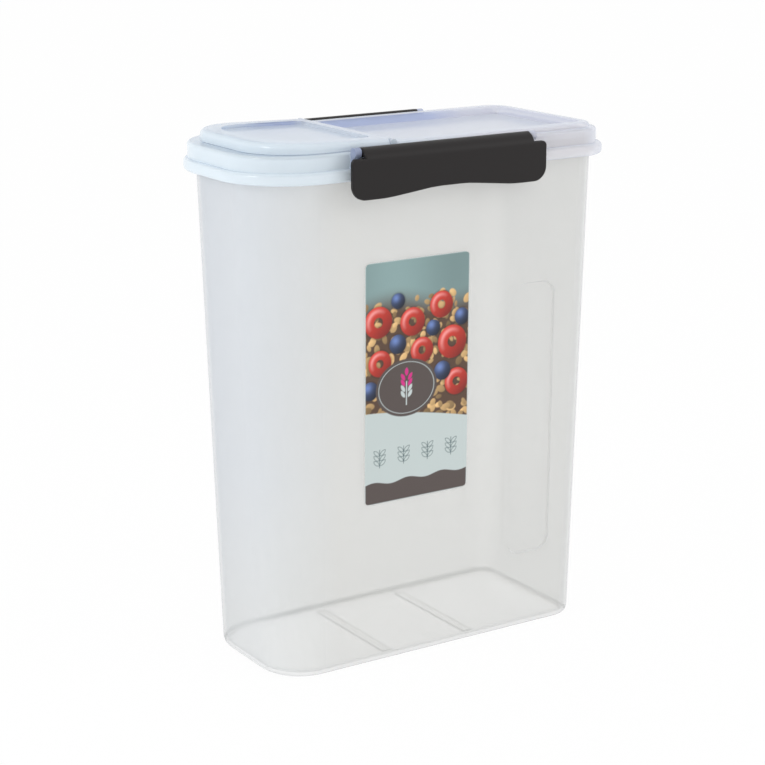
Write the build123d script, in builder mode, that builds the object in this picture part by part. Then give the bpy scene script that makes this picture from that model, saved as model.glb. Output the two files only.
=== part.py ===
"""Tall storage container for dry food such as cereal, with a clip-down lid and a pour flap.

Pieces: a tapered container, a stepped lid with a silicone seal in its rim channel, a pour
flap hinged across the lid, two long clips hinged to the lid's sides that hook under the
container's collar, and a label on the front wall.

Millimetres. X runs along the container, from its strongly rounded end (-X) to its squarer
end (+X). Y runs from front (-Y, the label's side) to back. Z is up. The origin is on the
surface the container stands on, under the middle of its rim.
"""
from build123d import *
import os
from math import atan, cos, degrees, radians, sin, tan

# Container: outlines at the base and at the collar, and the wall
base_length = 191.5
base_width = 85.0
base_shift = 1.5
base_left_radius = 26.0
base_right_radius = 12.0
top_length = 208.0
top_width = 93.0
top_left_radius = 33.0
top_right_radius = 13.0
wall_height = 264.5
collar_height = 9.7
wall = 1.8
floor = 2.0
base_edge_radius = 6.0
floor_edge_radius = 4.2

# Hook flange: a rib round the collar whose underside slopes up and outwards
flange_reach = 2.9
flange_slope = 40.0
flange_edge = 1.1

# Floor ribs, which run across the base
rib_spacing = 53.0
rib_width = 6.0
rib_height = 1.0
rib_end_gap = 6.0

# Grip recesses, pressed into the long walls near the squarer end
grip_left = 48.5
grip_width = 28.0
grip_bottom = 44.5
grip_height = 154.0
grip_radius = 8.0
grip_depth = 1.2

# Label on the front wall
label_left = -44.4
label_width = 64.4
label_bottom = 90.9
label_height = 129.6
label_radius = 3.0
label_thickness = 0.2

# Lid: two tiers and a raised crown, as offsets from the collar's outline
skirt_offset = 6.6
skirt_height = 6.4
skirt_bead = 3.3
skirt_bottom_radius = 2.0
skirt_top_radius = 2.2
shoulder_offset = 3.3
shoulder_height = 8.1
shoulder_left_radius = 33.0
shoulder_radius = 1.8
lid_wall = 1.8
shoulder_wall = 1.7
plate_thickness = 2.0
crown_height = 2.4
crown_inset = 0.4
crown_radius = 12.5
crown_edge_radius = 1.8
plug_offset = 2.8
plug_wall = 1.6
plug_drop = 9.0

# Recess in the crown
recess_margin = 7.5
recess_end_margin = 5.4
recess_depth = 4.0
recess_radius = 4.0
recess_slope = 30.0

# Silicone seal in the lid's channel
seal_side_gap = 0.2
seal_height = 2.6
seal_top_gap = 0.1
seal_radius = 0.4

# Pour flap and its hinge across the lid
hinge_x = -27.6
bead_radius = 1.9
bead_gap = 0.6
flap_left_inset = 4.0
flap_left_radius = 30.0
flap_overhang = 0.9
flap_rise = 1.6
flap_wall = 1.6
flap_skin = 1.4
flap_lift_gap = 0.2
flap_edge_radius = 3.2
flap_recess_margin = 10.5
flap_recess_end_margin = 5.6
flap_recess_depth = 1.8
flap_recess_radius = 21.0
flap_recess_corner = 6.0
lug_length = 2.4
lug_gap = 0.3
flap_pin_radius = 0.9
flap_pin_clearance = 0.06

# Pour opening in the lid, under the flap, and the flap's plug that fills it
opening_margin = 7.0
opening_left_radius = 24.0
opening_right_radius = 8.0
opening_fit = 0.35
flap_plug_wall = 1.4
flap_plug_drop = 2.8

# Clips, hinged at the lid's long sides
clip_hinge_width = 103.0
clip_wing = 7.9
clip_reach = 6.4
clip_thickness = 2.2
clip_gap = 0.4
clip_barrel_radius = 2.6
clip_wing_drop = 2.3
clip_drop = 22.5
clip_arch = 3.2
clip_arch_inset = 21.0
clip_arch_flat = 20.0
clip_arch_bend = 100.0
clip_corner_radius = 7.6
clip_wing_radius = 2.4
clip_edge_radius = 0.7
hook_inset = 4.0
hook_tip_gap = 0.9
hook_gap = 0.35
hook_tip_thickness = 1.9
hook_step = 0.7
ear_width = 3.6
ear_skin = 1.0
ear_gap = 0.3
ear_radius = 2.6
clip_pin_radius = 1.25
clip_pin_clearance = 0.08
notch_gap = 4.0
notch_height = 4.3

# How far shapes of one piece run into each other, and the reach used to find edges by place
overlap = 0.5
reach = 0.01

# Heights and widths that follow from the sizes above
shoulder_bottom_z = wall_height + skirt_height
plate_top_z = shoulder_bottom_z + shoulder_height
plate_bottom_z = plate_top_z - plate_thickness
crown_top_z = plate_top_z + crown_height
clip_width = clip_hinge_width + 2 * clip_wing
hook_width = clip_hinge_width - 2 * hook_inset
wall_slope = degrees(atan((top_width - base_width) / 2 / wall_height))


def outline(z, left, right, width, left_radius, right_radius):
    """A flat outline at height z, with one corner radius at each end."""
    with BuildSketch(Plane.XY.offset(z)) as sketch:
        with Locations(((left + right) / 2, 0)):
            Rectangle(right - left, width)
        fillet(sketch.vertices().group_by(Axis.X)[0], left_radius)
        fillet(sketch.vertices().group_by(Axis.X)[-1], right_radius)
    return sketch.sketch


def rim_outline(z, offset=0.0):
    """The collar's outline at height z, made larger all round by offset."""
    half = top_length / 2 + offset
    return outline(z, -half, half, top_width + 2 * offset,
                   top_left_radius + offset, top_right_radius + offset)


def base_outline(z, inset=0.0):
    """The base's outline at height z, made smaller all round by inset."""
    half = base_length / 2 - inset
    return outline(z, base_shift - half, base_shift + half, base_width - 2 * inset,
                   base_left_radius - inset, base_right_radius - inset)


def long_wall(side):
    """The outer plane of a long wall, with its y upwards: side is -1 at the front, 1 at the back."""
    lean = radians(wall_slope)
    return Plane(origin=(0, side * base_width / 2, 0), x_dir=(-side, 0, 0),
                 z_dir=(0, side * cos(lean), -sin(lean)))


def wall_panel(plane, left, bottom, width, height, radius):
    """A rounded panel on a long wall, placed by its left end and its lower edge as the front shows it."""
    turn = 1 if plane.x_dir.X > 0 else -1
    with BuildSketch(plane) as sketch:
        with Locations((turn * (left + width / 2), bottom + height / 2)):
            RectangleRounded(width, height, radius)
    return sketch.sketch


# Container: lofted outer wall and upright collar
flange_rise = flange_reach * tan(radians(flange_slope))
with BuildPart() as container_body:
    loft([base_outline(0).face(), rim_outline(wall_height).face()], ruled=True)
    fillet(container_body.edges().group_by(Axis.Z)[0], base_edge_radius)
    extrude(rim_outline(wall_height), amount=collar_height)
    loft([rim_outline(wall_height).face(),
          rim_outline(wall_height + flange_rise, flange_reach).face()], ruled=True)
    extrude(rim_outline(wall_height + flange_rise, flange_reach), amount=flange_edge)
    # Hollow, with rounded edges round its floor
    loft([base_outline(floor, wall).face(), rim_outline(wall_height, -wall).face()],
         ruled=True, mode=Mode.SUBTRACT)
    extrude(rim_outline(wall_height, -wall), amount=collar_height, mode=Mode.SUBTRACT)
    fillet(container_body.edges().filter_by_position(Axis.Z, floor - reach, floor + reach), floor_edge_radius)
    # Ribs across the floor
    with BuildSketch(Plane.XY.offset(floor - overlap)):
        with Locations((base_shift - rib_spacing / 2, 0), (base_shift + rib_spacing / 2, 0)):
            Rectangle(rib_width, base_width - 2 * (wall + rib_end_gap))
    extrude(amount=rib_height + overlap)
    fillet(container_body.edges().filter_by_position(
        Axis.Z, floor + rib_height - reach, floor + rib_height + reach), rib_height / 2)
    # Grip recesses, which bulge into the hollow by as much as they sink into the wall
    for side in (-1, 1):
        outer = long_wall(side)
        extrude(wall_panel(outer.offset(-wall / 2), grip_left - wall, grip_bottom - wall,
                           grip_width + 2 * wall, grip_height + 2 * wall, grip_radius + wall),
                amount=-(wall / 2 + grip_depth))
        extrude(wall_panel(outer, grip_left, grip_bottom, grip_width, grip_height, grip_radius),
                amount=-grip_depth, taper=recess_slope, mode=Mode.SUBTRACT)

# Label: a film on the front wall
with BuildPart() as front_label:
    extrude(wall_panel(long_wall(-1), label_left, label_bottom, label_width, label_height, label_radius),
            amount=label_thickness)

# Places that the lid, the flap and the clips share
crown_half_width = top_width / 2 - crown_inset
crown_left = hinge_x + bead_radius + bead_gap
crown_right = top_length / 2 - crown_inset
bead_z = plate_top_z + flap_lift_gap + bead_radius
pivot_y = top_width / 2 + shoulder_offset + clip_gap + clip_barrel_radius
pivot_z = crown_top_z - clip_barrel_radius
plate_inner_y = pivot_y + clip_reach - clip_thickness
skirt_y = top_width / 2 + skirt_offset
flap_half_width = crown_half_width + flap_overhang
recess_half_width = crown_half_width - recess_margin
opening_left = -top_length / 2 + flap_left_inset + opening_margin
opening_right = hinge_x - opening_margin
opening_width = 2 * (crown_half_width - opening_margin)
lug_inner_y = flap_half_width - lug_length
ear_root_y = top_width / 2 + shoulder_offset - shoulder_wall / 2
channel_offset = shoulder_offset - shoulder_wall


def recess_outline(z, grow=0.0):
    """The crown recess's outline at height z, made larger all round by grow."""
    return outline(z, crown_left + lid_wall - grow, crown_right - recess_end_margin + grow,
                   2 * (recess_half_width + grow), recess_radius + grow, recess_radius + grow)


def opening_outline(z, inset=0.0):
    """The pour opening's outline at height z, made smaller all round by inset."""
    return outline(z, opening_left + inset, opening_right - inset, opening_width - 2 * inset,
                   opening_left_radius - inset, opening_right_radius - inset)


with BuildPart() as lid:
    # Skirt and shoulder
    extrude(rim_outline(wall_height, skirt_offset), amount=skirt_height)
    fillet(lid.edges().group_by(Axis.Z)[0], skirt_bottom_radius)
    fillet(lid.edges().group_by(Axis.Z)[-1], skirt_top_radius)
    shoulder_end = top_length / 2 + shoulder_offset
    extrude(outline(shoulder_bottom_z - lid_wall, -shoulder_end, shoulder_end,
                    top_width + 2 * shoulder_offset, shoulder_left_radius,
                    top_right_radius + shoulder_offset), amount=shoulder_height + lid_wall)
    fillet(lid.edges().group_by(Axis.Z)[-1], shoulder_radius)
    # Raised crown, right of the flap
    with BuildSketch(Plane.XY.offset(plate_top_z - lid_wall)) as crown_sketch:
        with Locations(((crown_left + crown_right) / 2, 0)):
            Rectangle(crown_right - crown_left, 2 * crown_half_width)
        fillet(crown_sketch.vertices().group_by(Axis.X)[-1], crown_radius)
    extrude(amount=crown_height + lid_wall)
    fillet(lid.edges().group_by(Axis.Z)[-1].sort_by(Axis.X)[1:], crown_edge_radius)
    # Hollow inside the skirt, then the narrower channel for the seal and the rim
    extrude(rim_outline(wall_height, skirt_bead), amount=skirt_height - lid_wall, mode=Mode.SUBTRACT)
    extrude(rim_outline(wall_height, channel_offset), amount=plate_bottom_z - wall_height, mode=Mode.SUBTRACT)
    # Plug wall, which stands inside the container's mouth
    extrude(rim_outline(plate_bottom_z - plug_drop, -plug_offset), amount=plug_drop)
    extrude(rim_outline(plate_bottom_z - plug_drop, -plug_offset - plug_wall), amount=plug_drop,
            mode=Mode.SUBTRACT)
    # Underside of the crown, and the recess with its own floor
    extrude(outline(plate_bottom_z, crown_left + lid_wall, crown_right - plug_wall - plug_offset,
                    2 * (crown_half_width - plug_wall - plug_offset),
                    recess_radius, crown_radius - plug_offset),
            amount=crown_top_z - lid_wall - plate_bottom_z, mode=Mode.SUBTRACT)
    extrude(recess_outline(crown_top_z - lid_wall, lid_wall), amount=-recess_depth, taper=recess_slope)
    extrude(recess_outline(crown_top_z), amount=-recess_depth, taper=recess_slope, mode=Mode.SUBTRACT)
    # Pour opening under the flap
    extrude(opening_outline(plate_bottom_z), amount=plate_thickness, mode=Mode.SUBTRACT)
    # Lugs that hold the flap's pins, as round on top as the flap's bead
    for side in (-1, 1):
        with BuildSketch(Plane.XZ.offset(side * (flap_half_width - lug_length / 2))):
            with Locations((hinge_x, bead_z)):
                Circle(bead_radius)
            with Locations((hinge_x, (bead_z + plate_top_z - overlap) / 2)):
                Rectangle(2 * bead_radius, bead_z - plate_top_z + overlap)
        extrude(amount=lug_length / 2, both=True)
    with Locations(Plane(origin=(hinge_x, 0, bead_z), z_dir=(0, 1, 0))):
        Cylinder(flap_pin_radius + flap_pin_clearance, 2 * (flap_half_width - flap_pin_radius),
                 mode=Mode.SUBTRACT)
    # Ears that carry the clips, with bores closed at their outer ends
    for side in (-1, 1):
        for ear_x in (-1, 1):
            ear_middle = ear_x * (clip_hinge_width / 2 + ear_gap + ear_width / 2)
            with BuildSketch(Plane.YZ.offset(ear_middle)):
                with Locations((side * pivot_y, pivot_z)):
                    Circle(ear_radius)
                with BuildLine():
                    Polyline((side * pivot_y, pivot_z + ear_radius),
                             (side * ear_root_y, plate_top_z - shoulder_radius),
                             (side * ear_root_y, shoulder_bottom_z - lid_wall / 2),
                             (side * skirt_y, shoulder_bottom_z - lid_wall / 2),
                             (side * skirt_y, pivot_z - ear_radius),
                             (side * pivot_y, pivot_z), close=True)
                make_face()
            extrude(amount=ear_width / 2, both=True)
        with Locations(Plane(origin=(0, side * pivot_y, pivot_z), z_dir=(1, 0, 0))):
            Cylinder(clip_pin_radius + clip_pin_clearance,
                     clip_hinge_width + 2 * (ear_gap + ear_width - ear_skin), mode=Mode.SUBTRACT)
    # Notches in the skirt, through which the clips' hooks reach the flange
    with BuildSketch(Plane.XY.offset(wall_height)):
        for side in (-1, 1):
            with Locations((0, side * (top_width / 2 + flange_reach + skirt_offset))):
                Rectangle(hook_width + 2 * notch_gap, 2 * skirt_offset)
    extrude(amount=notch_height, mode=Mode.SUBTRACT)

# Silicone seal: a ring that the rim presses up against
with BuildPart() as lid_seal:
    seal_outer = channel_offset - seal_side_gap
    seal_inner = -plug_offset + seal_side_gap
    seal_z = plate_bottom_z - seal_top_gap - seal_height
    extrude(rim_outline(seal_z, seal_outer), amount=seal_height)
    extrude(rim_outline(seal_z, seal_inner), amount=seal_height, mode=Mode.SUBTRACT)
    fillet(lid_seal.edges().group_by(Axis.Z)[0], seal_radius)

# Pour flap: a shallow cap that rises towards its free end
flap_left = -top_length / 2 + flap_left_inset
flap_bottom_z = plate_top_z + flap_lift_gap
flap_lean = radians(flap_rise)
flap_blank_height = (flap_plug_drop + flap_lift_gap + 2 * bead_radius
                     + (hinge_x - flap_left) * tan(flap_lean))
flap_top = Plane(origin=(hinge_x, 0, bead_z + bead_radius), x_dir=(cos(flap_lean), 0, -sin(flap_lean)),
                 z_dir=(sin(flap_lean), 0, cos(flap_lean)))


def flap_recess(plane, grow=0.0):
    """The flap recess's outline on the flap's sloping top, made larger all round by grow."""
    left = flap_left + flap_recess_margin - hinge_x - grow
    right = -flap_recess_end_margin + grow
    with BuildSketch(plane) as sketch:
        with Locations(((left + right) / 2, 0)):
            Rectangle(right - left, 2 * (flap_half_width - flap_recess_margin + grow))
        fillet(sketch.vertices().group_by(Axis.X)[0], flap_recess_radius + grow)
        fillet(sketch.vertices().group_by(Axis.X)[-1], flap_recess_corner + grow)
    return sketch.sketch


def sloping_block(z, inset=0.0):
    """A block in the flap's outline from height z to its sloping top, smaller all round by inset.

    Its top is rounded along its sides and its free end.
    """
    with BuildPart() as block:
        with BuildSketch(Plane.XY.offset(z)) as block_sketch:
            with Locations(((flap_left + hinge_x) / 2, 0)):
                Rectangle(hinge_x - flap_left - 2 * inset, 2 * (flap_half_width - inset))
            fillet(block_sketch.vertices().group_by(Axis.X)[0], flap_left_radius - inset)
        extrude(amount=flap_blank_height)
        split(bisect_by=flap_top.offset(-inset), keep=Keep.BOTTOM)
        fillet(block.faces().sort_by(Axis.Z)[-1].edges().sort_by(Axis.X)[:-1], flap_edge_radius - inset)
    return block.part


with BuildPart() as flap_plug:
    # Ring under the flap that fills the pour opening
    plug_bottom_z = plate_top_z - flap_plug_drop
    extrude(opening_outline(plug_bottom_z, opening_fit), amount=flap_blank_height)
    extrude(opening_outline(plug_bottom_z, opening_fit + flap_plug_wall), amount=flap_blank_height,
            mode=Mode.SUBTRACT)
    split(bisect_by=flap_top.offset(-flap_wall / 2), keep=Keep.BOTTOM)

with BuildPart() as pour_flap:
    add(sloping_block(flap_bottom_z))
    add(sloping_block(flap_bottom_z, flap_wall), mode=Mode.SUBTRACT)
    add(flap_plug.part)
    # Recess in the top, with its own floor
    extrude(flap_recess(flap_top.offset(-flap_wall / 2), flap_skin),
            amount=-(flap_recess_depth + flap_skin - flap_wall / 2))
    extrude(flap_recess(flap_top), amount=-flap_recess_depth, mode=Mode.SUBTRACT)
    # Corners cut back round the lid's lugs
    with BuildSketch(Plane.XY.offset(flap_bottom_z)):
        for side in (-1, 1):
            with Locations((hinge_x, side * (lug_inner_y - lug_gap + lug_length))):
                Rectangle(2 * (bead_radius + lug_gap), 2 * lug_length)
    extrude(amount=flap_blank_height, mode=Mode.SUBTRACT)
    # Hinge bead and its two pins
    with Locations(Plane(origin=(hinge_x, 0, bead_z), z_dir=(0, 1, 0))):
        Cylinder(bead_radius, 2 * (lug_inner_y - lug_gap))
        Cylinder(flap_pin_radius, 2 * (flap_half_width - flap_pin_radius - lug_gap))

# Clips: a long plate, bent over at the top to its hinge barrel, with a hook along its lower part
hook_tip_y = top_width / 2 + hook_tip_gap
hook_ramp_end_y = top_width / 2 + flange_reach + hook_step
bend_z = crown_top_z - clip_reach
bend_inner_radius = clip_reach - clip_thickness


def hook_top_z(y):
    """Height of the hook's ramp at a distance y from the middle, parallel to the flange's underside."""
    return wall_height + (y - top_width / 2) * tan(radians(flange_slope)) - hook_gap


with BuildPart() as front_clip:
    # Plate and bend, as seen from the end
    low_z = crown_top_z - clip_drop - clip_arch
    with BuildSketch(Plane.YZ):
        with BuildLine():
            CenterArc((-pivot_y, bend_z), clip_reach, 90, 90)
            Polyline((-pivot_y - clip_reach, bend_z), (-pivot_y - clip_reach, low_z),
                     (-plate_inner_y, low_z), (-plate_inner_y, bend_z))
            CenterArc((-pivot_y, bend_z), bend_inner_radius, 90, 90)
            Line((-pivot_y, bend_z + bend_inner_radius), (-pivot_y, crown_top_z))
        make_face()
    extrude(amount=clip_width / 2, both=True)
    # Cut to its outline, as seen from the front: wings below the hinge and an arched lower edge
    wing_z = pivot_z - clip_wing_drop
    arch_x = clip_width / 2 - clip_arch_inset
    with BuildSketch(Plane.XZ.offset(pivot_y)) as plate_sketch:
        with BuildLine():
            FilletPolyline((-clip_width / 2, low_z), (-arch_x, low_z),
                           (-clip_arch_flat / 2, low_z + clip_arch),
                           (clip_arch_flat / 2, low_z + clip_arch),
                           (arch_x, low_z), (clip_width / 2, low_z), radius=clip_arch_bend)
            Polyline((clip_width / 2, low_z), (clip_width / 2, wing_z), (clip_hinge_width / 2, wing_z),
                     (clip_hinge_width / 2, crown_top_z + overlap),
                     (-clip_hinge_width / 2, crown_top_z + overlap), (-clip_hinge_width / 2, wing_z),
                     (-clip_width / 2, wing_z), (-clip_width / 2, low_z))
        make_face()
        for end in (0, -1):
            low_corner = plate_sketch.vertices().group_by(Axis.Y)[0].sort_by(Axis.X)[end]
            fillet(low_corner, clip_corner_radius)
            wing_corner = plate_sketch.vertices().filter_by_position(
                Axis.Y, wing_z - reach, wing_z + reach).sort_by(Axis.X)[end]
            fillet(wing_corner, clip_wing_radius)
    extrude(amount=clip_reach + overlap, both=True, mode=Mode.INTERSECT)
    # Rounded outer edge, except along the hinge
    plate_edges = front_clip.faces().sort_by(Axis.Y)[0].edges()
    bend_edges = front_clip.faces().filter_by(GeomType.CYLINDER).sort_by(SortBy.AREA)[-1].edges()
    outer_edges = (plate_edges + bend_edges).filter_by_position(Axis.Z, low_z - reach, crown_top_z - reach)
    seam = outer_edges.filter_by_position(Axis.Z, bend_z - reach, bend_z + reach)
    fillet(outer_edges - seam, clip_edge_radius)
    # Hook: a bar whose top slopes like the flange's underside
    with BuildSketch(Plane.YZ) as hook_sketch:
        with BuildLine():
            Polyline((-hook_tip_y, hook_top_z(hook_tip_y)),
                     (-hook_ramp_end_y, hook_top_z(hook_ramp_end_y)),
                     (-plate_inner_y - clip_thickness / 2, hook_top_z(hook_ramp_end_y)),
                     (-plate_inner_y - clip_thickness / 2, hook_top_z(hook_tip_y) - hook_tip_thickness),
                     (-hook_tip_y, hook_top_z(hook_tip_y) - hook_tip_thickness), close=True)
        make_face()
    extrude(amount=hook_width / 2, both=True)
    # Hinge barrel and its two pins
    with Locations(Plane(origin=(0, -pivot_y, pivot_z), z_dir=(1, 0, 0))):
        Cylinder(clip_barrel_radius, clip_hinge_width)
        Cylinder(clip_pin_radius, clip_hinge_width + 2 * (ear_width - ear_skin))

with BuildPart() as back_clip:
    mirror(front_clip.part, about=Plane.XZ)

container_body.part.label = "container_body"
front_label.part.label = "front_label"
lid.part.label = "lid"
lid_seal.part.label = "lid_seal"
pour_flap.part.label = "pour_flap"
front_clip.part.label = "front_clip"
back_clip.part.label = "back_clip"

os.makedirs("parts", exist_ok=True)
for piece in (container_body, front_label, lid, lid_seal, pour_flap, front_clip, back_clip):
    export_step(piece.part, f"parts/{piece.part.label}.step")
    size = piece.part.bounding_box().size
    print(f"{piece.part.label}: {len(piece.part.solids())} solid, {piece.part.volume / 1000:.1f} cm3, "
          f"{size.X:.1f} x {size.Y:.1f} x {size.Z:.1f} mm")
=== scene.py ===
"""Tall cereal container with a clip-down lid and a pour flap: finishes, label, stage, light, camera.

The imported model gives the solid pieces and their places. Metres, X to the squarer end,
Y to the back, Z up, as in the model.
"""
import math

import bpy
import numpy as np
from mathutils import Matrix, Vector


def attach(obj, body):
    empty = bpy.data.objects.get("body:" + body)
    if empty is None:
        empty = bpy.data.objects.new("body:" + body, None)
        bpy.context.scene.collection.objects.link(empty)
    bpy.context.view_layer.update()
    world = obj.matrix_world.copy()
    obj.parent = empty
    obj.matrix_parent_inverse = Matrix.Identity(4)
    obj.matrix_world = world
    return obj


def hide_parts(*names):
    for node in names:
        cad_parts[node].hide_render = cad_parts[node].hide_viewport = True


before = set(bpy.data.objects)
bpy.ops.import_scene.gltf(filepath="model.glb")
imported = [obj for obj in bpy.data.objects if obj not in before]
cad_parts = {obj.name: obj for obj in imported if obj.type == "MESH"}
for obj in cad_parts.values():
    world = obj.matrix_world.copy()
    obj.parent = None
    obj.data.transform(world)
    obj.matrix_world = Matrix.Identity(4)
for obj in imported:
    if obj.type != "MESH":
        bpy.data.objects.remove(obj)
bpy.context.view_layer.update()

bl_info = {
    "name": "Cereal Container",
    "version": (1, 0, 0),
    "blender": (4, 5, 0),
    "location": "3D View > Sidebar > Container",
    "description": "Finishes, printed label, stage and camera for a clip-lid cereal container",
    "category": "Object",
}

MM = 0.001
PHOTO_PIXELS = 765
SENSOR_MM = 36.0
# The container's front wall: where it meets the floor, and how far it leans out
FRONT_FOOT = -42.5 * MM
FRONT_LEAN = math.atan(4.0 / 264.5)
# Where a tint of painted light or shade fades from none to full: start and end along an axis of the model
PLAIN_BODY_X = (-100 * MM, -60 * MM)
PALE_FOOT_Z = (110 * MM, 20 * MM)
CREASE_SHADE_Z = (8 * MM, 6 * MM)
PLAIN_LID_X = (-100 * MM, 30 * MM)
RECESS_Z = (276 * MM, 277.5 * MM)
CLIP_BACKED_X = (75 * MM, 50 * MM)
ROUNDED_END_X = (40 * MM, -40 * MM)
EAR_Y = (50 * MM, 50.3 * MM)
EAR_Z = (271 * MM, 271.3 * MM)
# The lid's recess: its half length and half width
RECESS_HALF = (90 * MM, 35 * MM)
# The floor's ribs: the middle of the heights at which they show, and half that band
RIB_MIDDLE, RIB_HALF = 2.65 * MM, 0.5 * MM
# The label's motifs, in mm from its lower left corner: place across, place up, radius
HOOPS = ((47, 103, 7.2), (8, 98, 8.4), (29, 96, 7.6), (54, 82, 9.0), (35, 80, 7.0), (9, 76, 7.0),
         (57, 60, 7.4))
SEEDS = ((20, 108, 4.2), (60, 95, 4.6), (42, 91, 4.4), (20, 85, 5.2), (48, 67, 5.2), (3, 62, 5.0))
# Places across of the sprigs, and the height of their middles
SPRIGS, SPRIG_HEIGHT = (9, 24, 39, 54), 24.5
FLAKES = 300
# The film's back lies this share of its thickness off the wall
BACK_LIFT = 0.1
FLOOR_HALF = 9.0
LAMP_AIM = (0, 0, 0.14)
KEY_PLACE = (-1.1, -0.15, 0.85)
FILL_PLACE = (0.9, -0.9, 0.7)


def linear(hex_colour):
    """Linear RGBA of an sRGB hex colour, by the sRGB curve."""
    codes = [int(hex_colour[i:i + 2], 16) / 255 for i in (1, 3, 5)]
    return tuple(c / 12.92 if c <= 0.04045 else ((c + 0.055) / 1.055) ** 2.4 for c in codes) + (1.0,)


def add_node(tree, kind, feeds=None, **settings):
    """Adds a node of that kind. A setting is an attribute of the node or the value of an input,
    by its name with underscores; feeds maps an input's name or place to the socket that drives it."""
    node = tree.nodes.new(kind)
    for key, value in settings.items():
        if hasattr(node, key):
            setattr(node, key, value)
        else:
            node.inputs[key.replace("_", " ")].default_value = value
    for key, socket in (feeds or {}).items():
        tree.links.new(socket, node.inputs[key])
    return node


def new_material(name):
    """An empty node material and its tree."""
    material = bpy.data.materials.new(name)
    material.use_nodes = True
    material.node_tree.nodes.clear()
    return material, material.node_tree


def finish_material(tree, shader):
    """Sends the shader to the material's output."""
    add_node(tree, "ShaderNodeOutputMaterial", {"Surface": shader.outputs[0]})


def colour_property(name, description, hex_colour):
    """A colour that a user can change, with its default as an sRGB hex value."""
    return bpy.props.FloatVectorProperty(name=name, description=description, subtype="COLOR", size=4,
                                         min=0, max=1, default=linear(hex_colour))


def length_property(name, description, millimetres):
    """A length that a user can change, with its default in millimetres."""
    return bpy.props.FloatProperty(name=name, description=description, unit="LENGTH",
                                   default=millimetres * MM, min=0)


def offset_property(name, description, millimetres):
    """A place along an axis, with its default in millimetres."""
    return bpy.props.FloatProperty(name=name, description=description, unit="LENGTH",
                                   default=millimetres * MM)


def factor_property(name, description, default):
    """A share from 0 to 1."""
    return bpy.props.FloatProperty(name=name, description=description, subtype="FACTOR",
                                   min=0, max=1, default=default)


def angle_property(name, description, degrees):
    """An angle, with its default in degrees."""
    return bpy.props.FloatProperty(name=name, description=description, subtype="ANGLE",
                                   default=math.radians(degrees))


class ContainerSettings(bpy.types.PropertyGroup):
    """Finishes of the moulded pieces, with painted light and shade in some of their colours."""

    body_colour: colour_property("Container", "Natural polypropylene, seen square on", "#EFEFEB")
    # Painted cool light: the container's rounded end tinted blue for the light that falls on it
    body_cool_light: colour_property("Container, rounded end", "The same plastic at the rounded end", "#E7EEF6")
    # Painted light: the rounded end painted paler low down, towards its foot
    body_foot_light: colour_property("Container, rounded foot", "The same plastic low at the rounded end", "#F3F6F6")
    body_edge: colour_property("Container edge", "The same wall, seen along its length", "#DCDEE2")
    # Painted shade: grey in the crease where floor and back wall meet, and on the ribs' sides
    body_crease_shade: colour_property("Container seam", "Where its floor, back wall and ribs meet", "#AFB2B0")
    # Painted light: the paler tops of the floor's ribs
    rib_top_light: colour_property("Floor ribs", "Tops of the ribs across its floor", "#FAFAF7")
    body_cover: factor_property("Container cover", "How much one face of the wall hides, seen square on",
                                0.29)
    lid_colour: colour_property("Lid", "Clear polypropylene, at the squarer end", "#F5F2F6")
    # Painted cool light: the lid's rounded end tinted blue for the light that falls on it
    lid_cool_light: colour_property("Lid, rounded end", "The same plastic at the rounded end", "#E8F7FF")
    lid_edge: colour_property("Lid edge", "The lid's wall, seen along its length", "#D8E4F6")
    # Painted light: the lid's outer walls at the rounded end painted paler
    lid_side_light: colour_property("Lid outer walls", "Outer walls at the rounded end", "#EAF5FD")
    # The dark pins show through the ears; painted shade deepens them towards the rounded end
    lid_ear: colour_property("Lid ears", "Ears that carry the clips, with the dark pins in them", "#A9B4D2")
    # Painted shade on the recess walls, over the blue of plastic seen through its height
    lid_recess_shade: colour_property("Lid recess walls", "Walls of the recesses, seen through their height",
                              "#B9C6EA")
    lid_cover: factor_property("Lid cover", "How much one face of the lid hides, seen square on", 0.4)
    clip_colour: colour_property("Clips", "Charcoal polypropylene", "#211E1E")
    seal_colour: colour_property("Seal", "White silicone rubber", "#EEF2F5")


class LabelSettings(bpy.types.PropertyGroup):
    """The label's size and print."""

    left: offset_property("Left edge", "Place of the label's left edge along the front", -44.4)
    width: length_property("Width", "The label's width", 64.4)
    bottom: length_property("Bottom edge", "Height of the lower edge up the front wall", 90.9)
    height: length_property("Height", "The label's height", 129.6)
    corner: length_property("Corner", "Radius of the label's corners", 3.0)
    thickness: length_property("Thickness", "How far the film stands off the wall", 0.2)
    ground: colour_property("Ground", "Behind the pattern, at the top", "#86A0A0")
    ground_low: colour_property("Lower ground", "Behind the pattern, lower down", "#5A4334")
    panel: colour_property("Panel", "Plain lower panel", "#CAD5D4")
    strip: colour_property("Strip", "Lower strip and medallion", "#574D4A")
    red: colour_property("Hoops", "Large rings of the pattern", "#D03A2C")
    oat: colour_property("Flakes", "Small flakes of the pattern", "#D9B27A")
    blue: colour_property("Seeds", "Round seeds of the pattern", "#33405F")
    accent: colour_property("Ear", "Kernels of the ear of grain on the medallion", "#D92C8A")
    line: colour_property("Lines", "Fine lines on the panel", "#5E7376")


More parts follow.
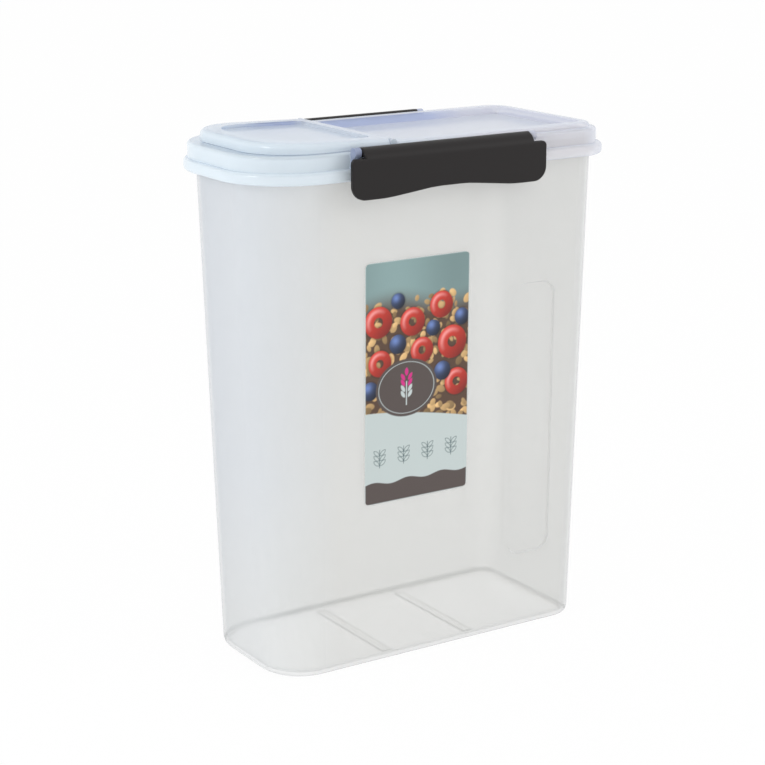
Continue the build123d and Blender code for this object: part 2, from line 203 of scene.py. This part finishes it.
class StageSettings(bpy.types.PropertyGroup):
    """Floor, light and camera."""

    floor_colour: colour_property("Floor", "Plain pale floor", "#FFFFFF")
    floor_glow: factor_property("Floor whiteness", "Share of the floor that shows plain white", 0.965)
    ambient: bpy.props.FloatProperty(name="Room light", description="Strength of the even light",
                                     min=0, default=0.8)
    key_power: bpy.props.FloatProperty(name="Key", description="Power of the key softbox",
                                       unit="POWER", min=0, default=3.2)
    fill_power: bpy.props.FloatProperty(name="Fill", description="Power of the fill softbox",
                                        unit="POWER", min=0, default=2.5)
    key_size: length_property("Key size", "Side of the key softbox", 300)
    fill_size: length_property("Fill size", "Side of the fill softbox", 500)
    focal_pixels: bpy.props.FloatProperty(name="Focal length", description="In pixels of the photograph",
                                          default=2047.7)
    azimuth: angle_property("Azimuth", "The camera's heading from +Y towards +X", 32.522)
    pitch: angle_property("Pitch", "How far the camera looks down", 15.069)
    roll: angle_property("Roll", "Turn of the camera about its view", -0.231)
    distance: length_property("Distance", "From the camera to its target", 1117.6)
    target_side: offset_property("Target side", "Target's place across the view", -4.27)
    target_height: length_property("Target height", "Target's height", 141.66)


def dress(node_name, material):
    """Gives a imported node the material."""
    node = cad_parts[node_name]
    node.data.materials.clear()
    node.data.materials.append(material)
    return node


def slant_opacity(tree, slant, cover, gain):
    """How much one face hides: cover where it is seen square on, and more the more it slants away,
    because the light's way through the wall gets longer."""
    return add_node(tree, "ShaderNodeMapRange", {"Value": slant.outputs["Facing"]},
                    To_Min=cover, To_Max=min(1.0, cover + gain)).outputs["Result"]


def rippled(tree, wave, height, strength, detail=2.0):
    """The normal of a surface with a faint ripple, whose wave length and height are in mm."""
    place = add_node(tree, "ShaderNodeTexCoord")
    ripple = add_node(tree, "ShaderNodeTexNoise", {"Vector": place.outputs["Object"]},
                      Scale=1 / (wave * MM), Detail=detail)
    bump = add_node(tree, "ShaderNodeBump", {"Height": ripple.outputs["Fac"]},
                    Strength=strength, Distance=height * MM)
    return bump.outputs["Normal"]


def moulded_plastic(tree, tint, opacity, roughness, wave):
    """Ends the material as moulded polypropylene of that tint and opacity, glossy, with a faint
    ripple of that wave length in mm, which breaks up its highlights."""
    shader = add_node(tree, "ShaderNodeBsdfPrincipled",
                      {"Base Color": tint, "Alpha": opacity, "Normal": rippled(tree, wave, 0.4, 0.1, 1.0)},
                      Roughness=roughness, IOR=1.49)
    finish_material(tree, shader)


def mixed(tree, factor, first, second):
    """The colour between two, each a colour or a socket."""
    node = add_node(tree, "ShaderNodeMix", {"Factor": factor}, data_type="RGBA")
    for place, colour in ((6, first), (7, second)):
        if isinstance(colour, bpy.types.NodeSocket):
            tree.links.new(colour, node.inputs[place])
        else:
            node.inputs[place].default_value = colour
    return node.outputs[2]


def share(tree, socket, start, end, low=0.0, high=1.0):
    """A share that goes from low, where the value is at start, to high, where it is at end."""
    return add_node(tree, "ShaderNodeMapRange", {"Value": socket}, From_Min=start, From_Max=end,
                    To_Min=low, To_Max=high).outputs["Result"]


def times(tree, *sockets):
    """The product of the sockets."""
    product = sockets[0]
    for socket in sockets[1:]:
        product = add_node(tree, "ShaderNodeMath", {0: product, 1: socket}, operation="MULTIPLY").outputs[0]
    return product


def more_opaque(tree, opacity, mask, gain):
    """The opacity, raised by gain where the mask is 1."""
    node = add_node(tree, "ShaderNodeMath", {0: mask, 2: opacity}, operation="MULTIPLY_ADD", use_clamp=True)
    node.inputs[1].default_value = gain
    return node.outputs[0]


def seen_directly(tree):
    """1 for rays from the camera and for those that gloss or a see-through wall sends on, or else 0."""
    path = add_node(tree, "ShaderNodeLightPath")
    seen = path.outputs["Is Camera Ray"]
    for kind in ("Is Glossy Ray", "Is Transmission Ray"):
        either = add_node(tree, "ShaderNodeMath", {0: seen, 1: path.outputs[kind]}, operation="MAXIMUM")
        seen = either.outputs[0]
    return seen


def container_plastic(s):
    """Natural polypropylene, milky and see-through, with painted cool light at the rounded end that grows
    paler towards its foot.
    Where the back wall runs into the floor the plastic is thicker, and a grey line of painted shade marks
    that crease through the front.
    The floor's ribs show as pale bands of painted light on their tops, with a grey line of painted shade on
    each side."""
    material, tree = new_material("natural polypropylene, container")
    slant = add_node(tree, "ShaderNodeLayerWeight", Blend=0.35)
    place = add_node(tree, "ShaderNodeTexCoord")
    point = add_node(tree, "ShaderNodeSeparateXYZ", {0: place.outputs["Object"]})
    normal = add_node(tree, "ShaderNodeSeparateXYZ", {0: place.outputs["Normal"]})
    # Painted cool light at the rounded end, with paler painted light towards its foot
    cool_light = mixed(tree, share(tree, point.outputs["Z"], *PALE_FOOT_Z), s.body_cool_light, s.body_foot_light)
    plain = mixed(tree, share(tree, point.outputs["X"], *PLAIN_BODY_X), cool_light, s.body_colour)
    tint = mixed(tree, slant.outputs["Facing"], plain, s.body_edge)
    # The floor hides less than the slanting view of it would, because what it stands on lights it
    flat = add_node(tree, "ShaderNodeMath", {0: normal.outputs["Z"]}, operation="ABSOLUTE")
    opacity = times(tree, slant_opacity(tree, slant, s.body_cover, 0.42),
                    share(tree, flat.outputs[0], 0.8, 0.98, 1.0, 0.5))
    # Painted shade in the crease where the back wall runs into the floor: low inside, with a normal that
    # leans between the front and up
    crease_shade = times(tree, share(tree, point.outputs["Z"], *CREASE_SHADE_Z), share(tree, normal.outputs["Z"], 0.2, 0.4),
                 share(tree, normal.outputs["Z"], 0.75, 0.5), share(tree, normal.outputs["Y"], 0.1, -0.6))
    tint = mixed(tree, crease_shade, tint, s.body_crease_shade)
    opacity = more_opaque(tree, opacity, crease_shade, 0.2)
    # Ribs: within half a millimetre of the floor's top, on faces that don't look down
    near = add_node(tree, "ShaderNodeMath", {0: point.outputs["Z"]}, operation="COMPARE")
    near.inputs[1].default_value = RIB_MIDDLE
    near.inputs[2].default_value = RIB_HALF
    rib = times(tree, near.outputs[0], share(tree, normal.outputs["Z"], -0.1, -0.05))
    # Their sides take the grey of painted shade and their tops the paler painted light
    top = mixed(tree, share(tree, normal.outputs["Z"], 0.7, 0.95), s.body_crease_shade, s.rib_top_light)
    tint = mixed(tree, rib, tint, top)
    opacity = more_opaque(tree, opacity, rib, 0.35)
    moulded_plastic(tree, tint, opacity, 0.24, 45.0)
    return material


def silicone(colour):
    """White silicone rubber: a soft, even gloss, with a ripple from its mould."""
    material, tree = new_material("white silicone, seal")
    shader = add_node(tree, "ShaderNodeBsdfPrincipled", {"Normal": rippled(tree, 4, 0.1, 0.1)},
                      Base_Color=colour, Roughness=0.45, IOR=1.41)
    finish_material(tree, shader)
    return material


def lid_plastic(s):
    """Clear polypropylene, thin and glossy, with painted cool light at the rounded end. The walls of its
    recesses gather a blue tint, because they are seen through their height, and painted shade of the recess
    darkens it. They are told from the other walls by their normals, which point to the middle of the lid:
    minus the sum of normal times place, for X and Y, each over half the recess. The painted shade is fullest
    where a dark clip backs it.
    Where that sum points outwards, at the rounded end, the walls are painted paler, as if lit, and hide more."""
    material, tree = new_material("clear polypropylene, lid")
    place = add_node(tree, "ShaderNodeTexCoord")
    across = add_node(tree, "ShaderNodeSeparateXYZ", {0: place.outputs["Object"]})
    slant = add_node(tree, "ShaderNodeLayerWeight", Blend=0.3)
    # Painted cool light at the rounded end
    plain = mixed(tree, share(tree, across.outputs["X"], *PLAIN_LID_X), s.lid_cool_light, s.lid_colour)
    tint = mixed(tree, slant.outputs["Facing"], plain, s.lid_edge)
    turned = add_node(tree, "ShaderNodeVectorMath", {0: place.outputs["Normal"], 1: place.outputs["Object"]},
                      operation="MULTIPLY")
    inward = add_node(tree, "ShaderNodeVectorMath", {0: turned.outputs[0]}, operation="DOT_PRODUCT")
    inward.inputs[1].default_value = (-1 / RECESS_HALF[0], -1 / RECESS_HALF[1], 0)
    from_middle = add_node(tree, "ShaderNodeMath", {0: across.outputs["X"]}, operation="ABSOLUTE")
    # Painted shade on the recess walls, fullest where a dark clip backs them
    recess_shade = times(tree, share(tree, inward.outputs["Value"], 0, 1),
                 share(tree, across.outputs["Z"], *RECESS_Z),
                 share(tree, from_middle.outputs[0], *CLIP_BACKED_X, 0.35, 1.0))
    # Painted light: outer walls at the rounded end are painted paler
    side = times(tree, share(tree, inward.outputs["Value"], -0.2, -1.0),
                 share(tree, across.outputs["X"], *ROUNDED_END_X))
    # Ears: beyond the shoulder and above the skirt, tinted for the dark pins in them, with painted shade that
    # deepens towards the rounded end
    beyond = add_node(tree, "ShaderNodeMath", {0: across.outputs["Y"]}, operation="ABSOLUTE")
    ear = times(tree, share(tree, beyond.outputs[0], *EAR_Y), share(tree, across.outputs["Z"], *EAR_Z),
                share(tree, across.outputs["X"], *ROUNDED_END_X, 0.35, 1.0))
    tint = mixed(tree, recess_shade, mixed(tree, side, tint, s.lid_side_light), s.lid_recess_shade)
    tint = mixed(tree, ear, tint, s.lid_ear)
    opacity = more_opaque(tree, slant_opacity(tree, slant, s.lid_cover, 0.4), recess_shade, 0.2)
    opacity = more_opaque(tree, opacity, side, 0.2)
    moulded_plastic(tree, tint, opacity, 0.14, 30.0)
    return material


def matt_plastic(name, colour):
    """Charcoal polypropylene moulded in a finely spark-eroded tool: even, soft sheen."""
    material, tree = new_material(name)
    shader = add_node(tree, "ShaderNodeBsdfPrincipled", {"Normal": rippled(tree, 0.5, 0.05, 0.15)},
                      Base_Color=colour, Roughness=0.5, IOR=1.49, Specular_IOR_Level=0.25)
    finish_material(tree, shader)
    return material


def printed_film(name):
    """Printed polypropylene film under a clear gloss varnish, which levels the ink."""
    material, tree = new_material(name)
    ink = add_node(tree, "ShaderNodeVertexColor", layer_name="print")
    shader = add_node(tree, "ShaderNodeBsdfPrincipled",
                      {"Base Color": ink.outputs["Color"], "Normal": rippled(tree, 6, 0.1, 0.05)},
                      Roughness=0.38, IOR=1.46)
    finish_material(tree, shader)
    return material


def ellipse(u, v, across, up, turn=0.0):
    """Signed distance to an ellipse about 0, 0, turned by an angle: the point's length in units of
    the half widths, less one, times the smaller half width."""
    x = u * math.cos(turn) + v * math.sin(turn)
    y = v * math.cos(turn) - u * math.sin(turn)
    return (np.hypot(x / across, y / up) - 1) * min(across, up)


def leaf(u, v, length, width, turn=0.0):
    """Signed distance to a pointed leaf about 0, 0, turned by an angle: where two equal discs
    overlap, the larger of the distances to the two."""
    x = u * math.cos(turn) + v * math.sin(turn)
    y = v * math.cos(turn) - u * math.sin(turn)
    radius = (length ** 2 + width ** 2) / (4 * width)
    shift = radius - width / 2
    return np.maximum(np.hypot(x, y - shift), np.hypot(x, y + shift)) - radius


def stroke(u, v, height, thickness):
    """Signed distance to an upright line about 0, 0: the larger of the distances to its sides and ends."""
    return np.maximum(np.abs(u) - thickness / 2, np.abs(v) - height / 2)


def paint(ink, distance, colour, soft=0.3):
    """Lays a colour over the ink where the signed distance is negative, with an edge soft mm wide."""
    cover = np.clip(0.5 - distance / soft, 0, 1)[..., None]
    return ink * (1 - cover) + colour * cover


def paint_flakes(ink, u, v, s, width):
    """Small oat flakes in a loose drift, each an ellipse that is lighter towards the upper left."""
    oat = np.array(s.oat)[:3]
    rng = np.random.default_rng(7)
    for _ in range(FLAKES):
        x, y = rng.uniform(-2, width + 2), rng.uniform(34, 109)
        size = rng.uniform(1.5, 3.0)
        shade = rng.uniform(0.25, 1.3)
        near = ellipse(u - x, v - y, size, size * rng.uniform(0.5, 0.8), rng.uniform(0, math.pi))
        tilt = np.clip((v - y - u + x) / (2 * size), -1, 1)[..., None]
        ink = paint(ink, near, oat * shade * (1 + 0.35 * tilt), 0.5)
    return ink


def paint_hoop(ink, u, v, radius, red):
    """A thick ring with a dark bed below it, a rounded body and a bright crest on its upper left."""
    gap = np.hypot(u, v)
    ring = np.abs(gap - radius * 0.66) - radius * 0.34
    tilt = np.clip((v - u) / (1.4 * radius), -1, 1)[..., None]
    crest = np.exp(-((gap - radius * 0.72) / (radius * 0.13)) ** 2)[..., None] * np.clip(tilt, 0, 1)
    bed = np.clip(1 - (ring + 0.3) / 1.4, 0, 1)[..., None]
    return paint(ink * (1 - 0.55 * bed), ring, np.clip(red * (0.8 + 0.45 * tilt) + 0.4 * crest, 0, 1), 0.5)


def paint_seed(ink, u, v, radius, blue):
    """A round seed with a bloom of light on its upper left and a dark bed below it."""
    ball = np.hypot(u, v) - radius
    tilt = np.clip((v - u) / (1.4 * radius), -1, 1)[..., None]
    bloom = np.exp(-(np.hypot(u + radius * 0.3, v - radius * 0.4) / (radius * 0.5)) ** 2)[..., None]
    bed = np.clip(1 - (ball + 0.3) / 1.4, 0, 1)[..., None]
    return paint(ink * (1 - 0.5 * bed), ball, np.clip(blue * (0.8 + 0.6 * tilt + 4.0 * bloom), 0, 1), 0.5)


def label_print(u, v, s):
    """The label's colours at u, v, in mm from its lower left corner: a ground that darkens downwards
    under flakes, seeds and hoops, a plain panel with a row of sprigs, an oval medallion with an ear
    of grain, and a strip with a waved top. Each motif is painted over the last."""
    ground, low_ground, panel, strip, red, blue, accent, line = (
        np.array(colour)[:3] for colour in (s.ground, s.ground_low, s.panel, s.strip, s.red, s.blue,
                                            s.accent, s.line))
    width, height = s.width / MM, s.height / MM
    fade = np.clip((v - 98 - 3 * np.sin(u / 11)) / 16, 0, 1)[..., None]
    fade = fade * fade * (3 - 2 * fade)
    ink = low_ground * (1 - fade) + ground * (1 + 0.15 * np.sin(u / 12)[..., None]) * fade
    ink = paint_flakes(ink, u, v, s, width)
    for x, y, radius in HOOPS:
        ink = paint_hoop(ink, u - x, v - y, radius, red)
    for x, y, radius in SEEDS:
        ink = paint_seed(ink, u - x, v - y, radius, blue)
    # Plain panel under a curve that falls to the right
    ink = paint(ink, v - 50 + 10 * (u / width) ** 1.5, panel, 0.4)
    # Medallion, with kernels in pairs up a stem
    x, y = u - 25.5, v - 61
    ink = paint(ink, ellipse(x, y, 19, 15.5), strip, 0.4)
    ink = paint(ink, np.abs(ellipse(x, y, 17.2, 13.8)) - 0.15, panel, 0.3)
    ink = paint(ink, stroke(x, y + 3, 13, 0.7), panel, 0.3)
    for step in range(4):
        for side in (-1, 1):
            ink = paint(ink, leaf(x - side * 2.2, y + 3.4 - 3.1 * step, 4.6, 2.0, math.pi / 2 - side * 0.55),
                        accent if step > 1 else panel, 0.3)
    ink = paint(ink, leaf(x, y - 8.6, 4.6, 2.2, math.pi / 2), accent, 0.3)
    # Row of sprigs in fine line
    for place in SPRIGS:
        x, y = u - place, v - SPRIG_HEIGHT
        ink = paint(ink, stroke(x, y, 10, 0.4), line, 0.25)
        for step in range(3):
            for side in (-1, 1):
                blade = leaf(x - side * 1.9, y + 2.2 - 2.7 * step, 4.4, 1.9, side * 0.7)
                ink = paint(ink, np.abs(blade) - 0.16, line, 0.25)
    # Strip, and the film's pale edge
    ink = paint(ink, v - 11 - 0.9 * np.sin(u / width * 6 * math.pi), strip, 0.3)
    edge = np.minimum(np.minimum(u, width - u), np.minimum(v, height - v))
    return np.clip(paint(ink, edge - 0.25, panel, 0.4), 0, 1)


def label_shell(s):
    """The label as a closed film on the leaning front wall. Its front is a grid, whose rows end on the
    outline: within a radius of either end they are drawn in by the radius less the root of its square
    less the square of the way into the corner. Its back is the outline again, nearer the wall,
    joined to the front by one band of faces."""
    columns, rows = 196, 400
    up = np.array((0, -math.sin(FRONT_LEAN), math.cos(FRONT_LEAN)))
    out = np.array((0, -math.cos(FRONT_LEAN), -math.sin(FRONT_LEAN)))
    v = np.linspace(0, s.height, rows + 1)
    near = np.clip(s.corner - np.minimum(v, s.height - v), 0, None)
    inset = s.corner - np.sqrt(s.corner ** 2 - near ** 2)
    u = inset[:, None] + (s.width - 2 * inset[:, None]) * np.linspace(0, 1, columns + 1)
    u, v = u.reshape(-1), np.repeat(v, columns + 1)

    def placed(u, v, lift):
        along = np.stack([s.left + u, np.full_like(u, FRONT_FOOT), np.zeros_like(u)], 1)
        return along + (s.bottom + v)[:, None] * up + lift * out

    index = np.arange(len(u)).reshape(rows + 1, columns + 1)
    loop = np.concatenate([index[0, :-1], index[:-1, -1], index[-1, :0:-1], index[:0:-1, 0]])
    back = len(u) + np.arange(len(loop))
    verts = np.concatenate([placed(u, v, s.thickness), placed(u[loop], v[loop], BACK_LIFT * s.thickness)])
    quads = np.stack([index[:-1, :-1], index[:-1, 1:], index[1:, 1:], index[1:, :-1]], -1).reshape(-1, 4)
    band = np.stack([loop, back, np.roll(back, -1), np.roll(loop, -1)], 1)
    mesh = bpy.data.meshes.new("printed_label")
    mesh.from_pydata(verts.tolist(), [], quads.tolist() + band.tolist() + [back[::-1].tolist()])
    ink = np.ones((len(verts), 4), np.float32)
    ink[:len(u), :3] = label_print(u / MM, v / MM, s)
    mesh.color_attributes.new("print", "FLOAT_COLOR", "POINT").data.foreach_set("color", ink.reshape(-1))
    return mesh


class CONTAINER_OT_body(bpy.types.Operator):
    """Finish the container's body"""

    bl_idname = "container.body"
    bl_label = "Container Body"

    def execute(self, context):
        s = context.scene.container_settings
        dress("container_body", container_plastic(s))
        return {"FINISHED"}


class CONTAINER_OT_lid(bpy.types.Operator):
    """Finish the lid, its flap and its seal"""

    bl_idname = "container.lid"
    bl_label = "Lid, Flap and Seal"

    def execute(self, context):
        s = context.scene.container_settings
        plastic = lid_plastic(s)
        dress("lid", plastic)
        dress("pour_flap", plastic)
        dress("lid_seal", silicone(s.seal_colour))
        return {"FINISHED"}


class CONTAINER_OT_clips(bpy.types.Operator):
    """Finish the two clips"""

    bl_idname = "container.clips"
    bl_label = "Clips"

    def execute(self, context):
        plastic = matt_plastic("charcoal polypropylene, clips", context.scene.container_settings.clip_colour)
        dress("front_clip", plastic)
        dress("back_clip", plastic)
        return {"FINISHED"}


class CONTAINER_OT_label(bpy.types.Operator):
    """Make the printed label"""

    bl_idname = "container.label"
    bl_label = "Printed Label"

    def execute(self, context):
        mesh = label_shell(context.scene.label_settings)
        mesh.materials.append(printed_film("printed polypropylene film"))
        label = bpy.data.objects.new("printed_label", mesh)
        context.scene.collection.objects.link(label)
        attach(label, "container")
        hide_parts("front_label")
        return {"FINISHED"}


class CONTAINER_OT_stage(bpy.types.Operator):
    """Set the floor, the light and the camera"""

    bl_idname = "container.stage"
    bl_label = "Stage"

    def execute(self, context):
        s = context.scene.stage_settings
        scene = context.scene
        mesh = bpy.data.meshes.new("floor")
        corners = [(x * FLOOR_HALF, y * FLOOR_HALF, 0) for x, y in ((-1, -1), (1, -1), (1, 1), (-1, 1))]
        mesh.from_pydata(corners, [], [(0, 1, 2, 3)])
        floor = bpy.data.objects.new("floor", mesh)
        scene.collection.objects.link(floor)
        material, tree = new_material("pale floor")
        card = add_node(tree, "ShaderNodeBsdfDiffuse", Color=s.floor_colour)
        glow = add_node(tree, "ShaderNodeEmission", Strength=1.0)
        white = add_node(tree, "ShaderNodeMath", {0: seen_directly(tree)}, operation="MULTIPLY")
        white.inputs[1].default_value = s.floor_glow
        shader = add_node(tree, "ShaderNodeMixShader",
                          {0: white.outputs[0], 1: card.outputs[0], 2: glow.outputs[0]})
        finish_material(tree, shader)
        mesh.materials.append(material)

        world = bpy.data.worlds.new("white room")
        world.use_nodes = True
        tree = world.node_tree
        tree.nodes.clear()
        level = add_node(tree, "ShaderNodeMapRange", {"Value": seen_directly(tree)},
                         To_Min=s.ambient, To_Max=1.0)
        sky = add_node(tree, "ShaderNodeBackground", {"Strength": level.outputs["Result"]},
                       Color=(1, 1, 1, 1))
        add_node(tree, "ShaderNodeOutputWorld", {"Surface": sky.outputs[0]})
        scene.world = world

        for name, place, size, power in (("key softbox", KEY_PLACE, s.key_size, s.key_power),
                                         ("fill softbox", FILL_PLACE, s.fill_size, s.fill_power)):
            light = bpy.data.lights.new(name, "AREA")
            light.shape = "SQUARE"
            light.size = size
            light.energy = power
            lamp = bpy.data.objects.new(name, light)
            aim = Vector(LAMP_AIM) - Vector(place)
            lamp.matrix_world = Matrix.Translation(place) @ aim.to_track_quat("-Z", "Y").to_matrix().to_4x4()
            scene.collection.objects.link(lamp)

        ahead = Vector((math.sin(s.azimuth) * math.cos(s.pitch), math.cos(s.azimuth) * math.cos(s.pitch),
                        -math.sin(s.pitch)))
        level = Vector((math.cos(s.azimuth), -math.sin(s.azimuth), 0))
        target = Vector((0, 0, s.target_height)) + level * s.target_side
        right = level * math.cos(s.roll) + level.cross(ahead) * math.sin(s.roll)
        lens = bpy.data.cameras.new("camera")
        lens.sensor_width = SENSOR_MM
        lens.lens = s.focal_pixels / PHOTO_PIXELS * SENSOR_MM
        lens.clip_end = 50
        camera = bpy.data.objects.new("camera", lens)
        turn = Matrix((right, right.cross(ahead), -ahead)).transposed()
        camera.matrix_world = Matrix.Translation(target - ahead * s.distance) @ turn.to_4x4()
        scene.collection.objects.link(camera)
        scene.camera = camera
        scene.view_settings.view_transform = "Standard"
        return {"FINISHED"}


class CONTAINER_PT_panel(bpy.types.Panel):
    """Sidebar panel with the pieces and the stage"""

    bl_idname = "CONTAINER_PT_panel"
    bl_label = "Cereal Container"
    bl_space_type = "VIEW_3D"
    bl_region_type = "UI"
    bl_category = "Container"

    def draw(self, context):
        for settings in (context.scene.container_settings, context.scene.label_settings,
                         context.scene.stage_settings):
            column = self.layout.column(align=True)
            for name in settings.bl_rna.properties.keys():
                if name not in ("name", "rna_type"):
                    column.prop(settings, name)
        for operator in OPERATORS:
            self.layout.operator(operator.bl_idname)


OPERATORS = (CONTAINER_OT_body, CONTAINER_OT_lid, CONTAINER_OT_clips, CONTAINER_OT_label,
             CONTAINER_OT_stage)
CLASSES = (ContainerSettings, LabelSettings, StageSettings) + OPERATORS + (CONTAINER_PT_panel,)


def register():
    """Registers the classes and the settings."""
    for cls in CLASSES:
        bpy.utils.register_class(cls)
    bpy.types.Scene.container_settings = bpy.props.PointerProperty(type=ContainerSettings)
    bpy.types.Scene.label_settings = bpy.props.PointerProperty(type=LabelSettings)
    bpy.types.Scene.stage_settings = bpy.props.PointerProperty(type=StageSettings)


def unregister():
    """Removes what register added."""
    for name in ("container_settings", "label_settings", "stage_settings"):
        delattr(bpy.types.Scene, name)
    for cls in reversed(CLASSES):
        bpy.utils.unregister_class(cls)


def main():
    """Builds the pieces and the stage."""
    register()
    bpy.ops.container.body()
    bpy.ops.container.lid()
    bpy.ops.container.clips()
    bpy.ops.container.label()
    bpy.ops.container.stage()


if __name__ == "__main__":
    main()
